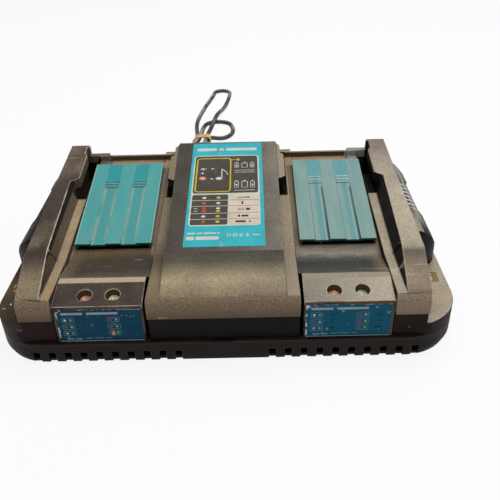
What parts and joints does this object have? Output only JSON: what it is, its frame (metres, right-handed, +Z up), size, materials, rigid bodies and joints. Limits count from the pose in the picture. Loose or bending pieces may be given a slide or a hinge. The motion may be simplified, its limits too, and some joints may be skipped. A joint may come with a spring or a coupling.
{
  "type": "power tool battery charger",
  "caption": "Mains charger with side-by-side bays for sliding power tool battery packs, with sprung sliding terminal covers, front indicator blocks, side louvres and a bound cord.",
  "frame": {"origin": "on the floor under the middle of the housing", "axes": "+X to the right as seen from the front, +Y to the rear where the cord leaves, +Z up"},
  "size_m": [0.34, 0.5825, 0.0846],
  "materials": {
    "housing_plastic": "grained, dusty",
    "tray_plastic": "grained, dusty",
    "teal_plastic": "worn satin",
    "spring_steel": "drawn wire",
    "terminal_plastic": "satin",
    "contact_brass": "nickel plated",
    "circuit_board": "solder resist",
    "red_lamp": "moulded",
    "green_lamp": "moulded",
    "ferrite": "sintered",
    "winding": "enamelled wire",
    "capacitor_sleeve": "shrink sleeve",
    "sink_aluminium": "extruded",
    "fuse_glass": "clear",
    "fan_plastic": "satin",
    "screw_steel": "zinc plated",
    "cord_rubber": "matt",
    "tie_plastic": "satin",
    "pin_brass": "plated"
  },
  "bodies": {
    "housing": {"upper_housing": "housing_plastic", "lower_housing": "tray_plastic", "lamp_block_left": "housing_plastic", "lamp_block_right": "housing_plastic", "cover_spring_left": "spring_steel", "cover_spring_right": "spring_steel", "terminal_block_left": "terminal_plastic", "terminal_block_right": "terminal_plastic", "contact_blades_left": "contact_brass", "contact_blades_right": "contact_brass", "lamp_board_left": "circuit_board", "lamp_board_right": "circuit_board", "red_lamps": "red_lamp", "green_lamps": "green_lamp", "main_board": "circuit_board", "transformer_core": "ferrite", "transformer_coil": "winding", "electrolytic_capacitors": "capacitor_sleeve", "heat_sinks": "sink_aluminium", "power_transistors": "terminal_plastic", "line_choke": "winding", "line_fuse": "fuse_glass", "buzzer": "terminal_plastic", "fan_frame_left": "fan_plastic", "fan_frame_right": "fan_plastic", "housing_screws": "screw_steel", "board_screws": "screw_steel", "strain_relief": "cord_rubber", "cord_lead": "cord_rubber", "cord_hank": "cord_rubber", "cord_tie": "tie_plastic", "cord_long_loop": "cord_rubber", "cord_short_loop": "cord_rubber", "cord_tail": "cord_rubber", "plug_body": "cord_rubber", "plug_pins": "pin_brass"},
    "cover_left": {"terminal_cover_left": "teal_plastic"},
    "cover_right": {"terminal_cover_right": "teal_plastic"},
    "fan_left": {"fan_rotor_left": "fan_plastic"},
    "fan_right": {"fan_rotor_right": "fan_plastic"}
  },
  "joints": [
    {"name": "cover_left_slide", "type": "slide", "parent": "housing", "child": "cover_left", "axis": [0, 0.9842, 0.1771], "range_m": [0, 0.014], "stiffness_N_per_m": 70, "springref_m": -0.01, "deforming": ["cover_spring_left"]},
    {"name": "cover_right_slide", "type": "slide", "parent": "housing", "child": "cover_right", "axis": [0, 0.9842, 0.1771], "range_m": [0, 0.014], "stiffness_N_per_m": 70, "springref_m": -0.01, "deforming": ["cover_spring_right"]},
    {"name": "fan_left_spin", "type": "hinge", "parent": "housing", "child": "fan_left", "pos_m": [-0.1445, 0.035, 0.033], "axis": [1, 0, 0], "continuous": true},
    {"name": "fan_right_spin", "type": "hinge", "parent": "housing", "child": "fan_right", "pos_m": [0.1445, 0.035, 0.033], "axis": [1, 0, 0], "continuous": true}
  ]
}
